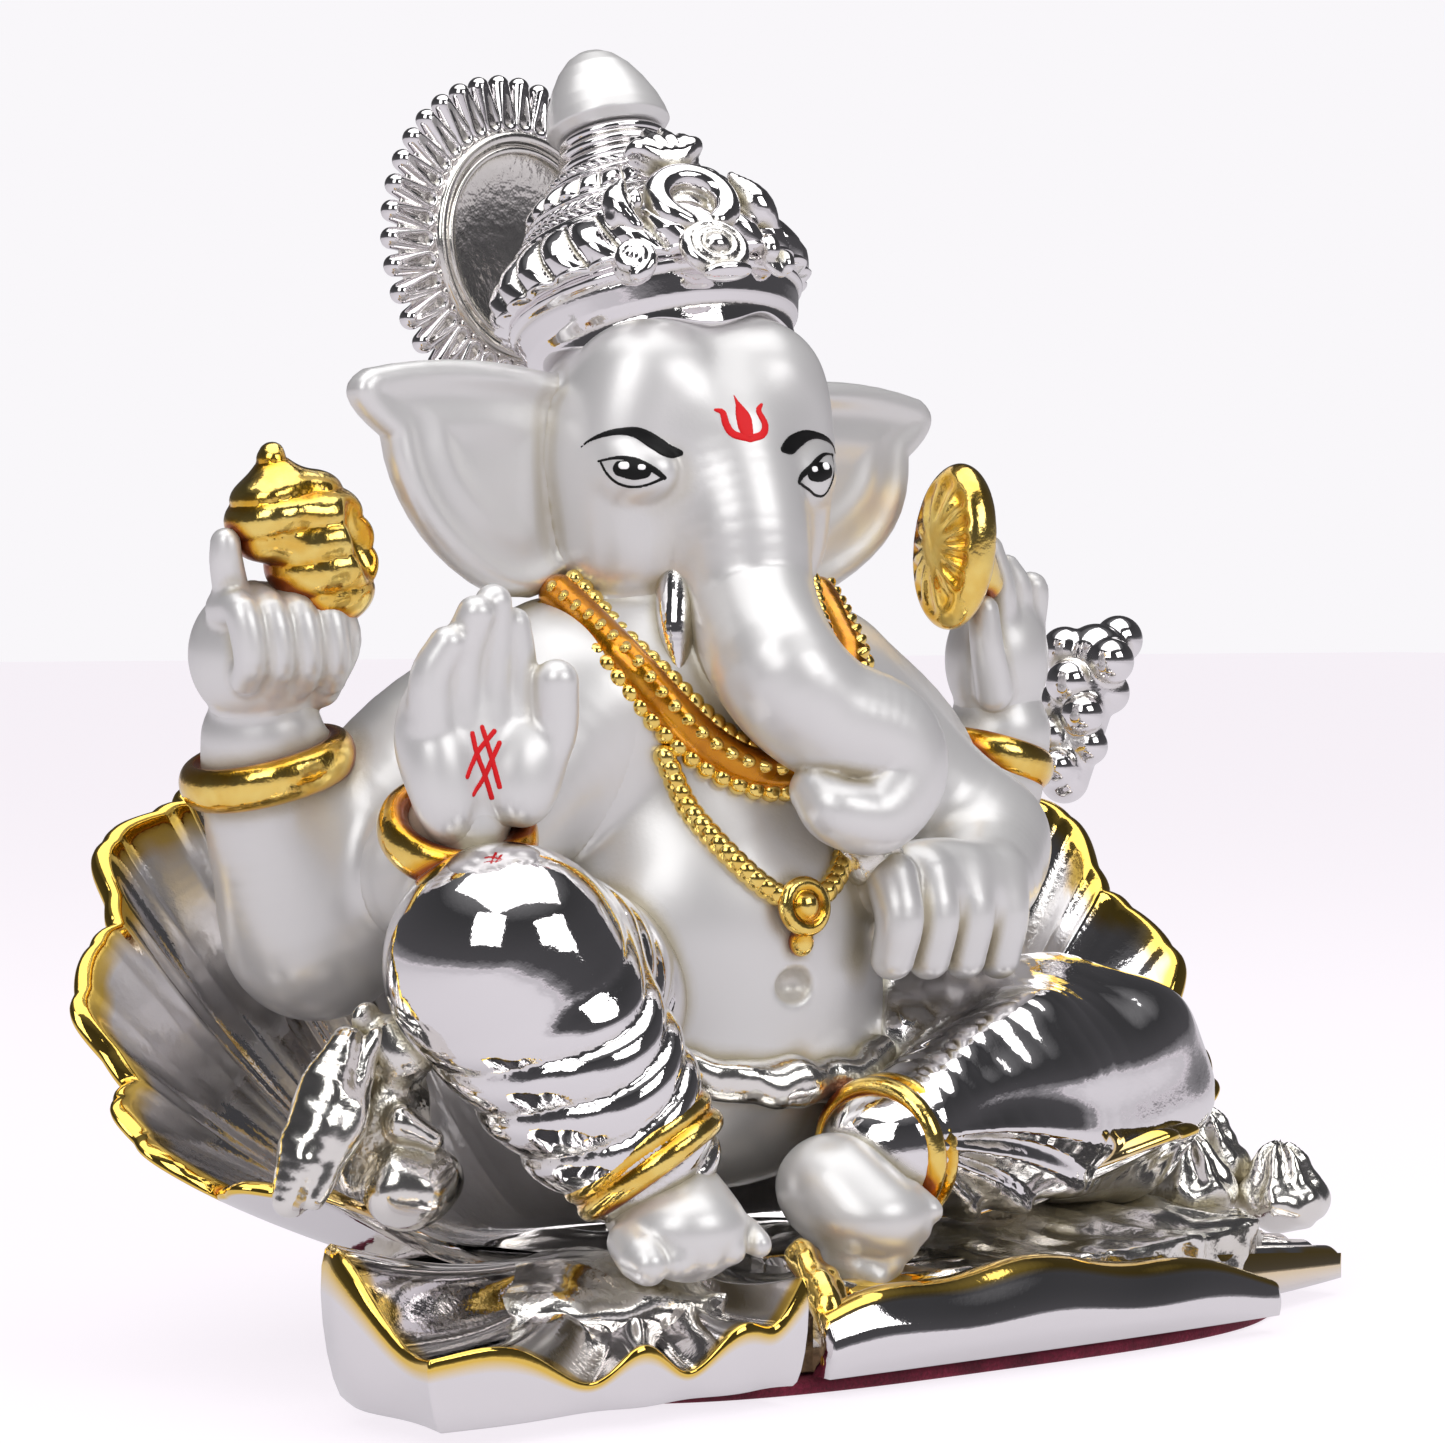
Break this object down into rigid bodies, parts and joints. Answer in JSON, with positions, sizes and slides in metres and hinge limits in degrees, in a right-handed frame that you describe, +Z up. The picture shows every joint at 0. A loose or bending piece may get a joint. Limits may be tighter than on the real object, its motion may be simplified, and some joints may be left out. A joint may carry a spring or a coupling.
{
  "type": "seated ganesha idol",
  "caption": "Seated elephant-headed figure on a fluted shell seat, plated silver with gold lacquered trim, on a closing board and velvet pad.",
  "frame": {"origin": "on the resting face of the velvet pad, below the middle of the idol's bounding box", "axes": "+Z up, the figure faces -Y, its own right hand is on -X; Y is the shortest extent"},
  "size_m": [0.1454, 0.0808, 0.1415],
  "materials": {
    "mirror_silver": "bright silver plate on a cast core, mirror polished",
    "satin_silver": "silver plate under a pearl matt lacquer, satin",
    "gold_lacquer": "transparent gold lacquer over silver plate, glossy",
    "velvet": "short cut-pile velvet, maroon",
    "board": "dense fibre board, unpainted"
  },
  "bodies": {
    "root": {"crown_medallion": "mirror_silver", "crown_arch": "mirror_silver", "crown_top_leaf": "mirror_silver", "crown_scroll_right": "mirror_silver", "crown_flame_right": "mirror_silver", "crown_scroll_left": "mirror_silver", "crown_flame_left": "mirror_silver", "crown_finial": "satin_silver", "crown_neck": "mirror_silver", "crown_tiers": "mirror_silver", "crown_bowl": "mirror_silver", "crown_band": "mirror_silver", "halo_lobes": "mirror_silver", "halo_dish": "mirror_silver", "tusk_right": "mirror_silver", "tusk_left": "mirror_silver", "ear_right": "satin_silver", "ear_left": "satin_silver", "conch": "gold_lacquer", "gold_disc": "gold_lacquer", "hand_lower_right": "satin_silver", "hand_upper_right": "satin_silver", "hand_upper_left": "satin_silver", "sweet_in_hand": "satin_silver", "hand_lower_left": "satin_silver", "bud_cluster": "mirror_silver", "pendant": "gold_lacquer", "necklace_chain": "gold_lacquer", "necklace_rope": "gold_lacquer", "head": "satin_silver", "bangle_upper_right": "gold_lacquer", "bangle_upper_left": "gold_lacquer", "bangle_lower_right": "gold_lacquer", "arm_upper_right": "satin_silver", "arm_lower_right": "satin_silver", "arm_upper_left": "satin_silver", "arm_lower_left": "satin_silver", "foot_right": "satin_silver", "foot_left": "satin_silver", "hem_right": "gold_lacquer", "hem_left": "gold_lacquer", "sash": "mirror_silver", "leg_right": "mirror_silver", "leg_left": "mirror_silver", "torso": "satin_silver", "mouse": "mirror_silver", "mouse_leaf": "mirror_silver", "sweet_1": "mirror_silver", "sweet_2": "mirror_silver", "sweet_3": "mirror_silver", "ribbon": "gold_lacquer", "leaf_front": "mirror_silver", "leaf_far": "mirror_silver", "shell_front": "mirror_silver", "seat_block": "mirror_silver", "shell_rear": "mirror_silver", "closing_board": "board", "velvet_pad": "velvet"}
  },
  "joints": []
}
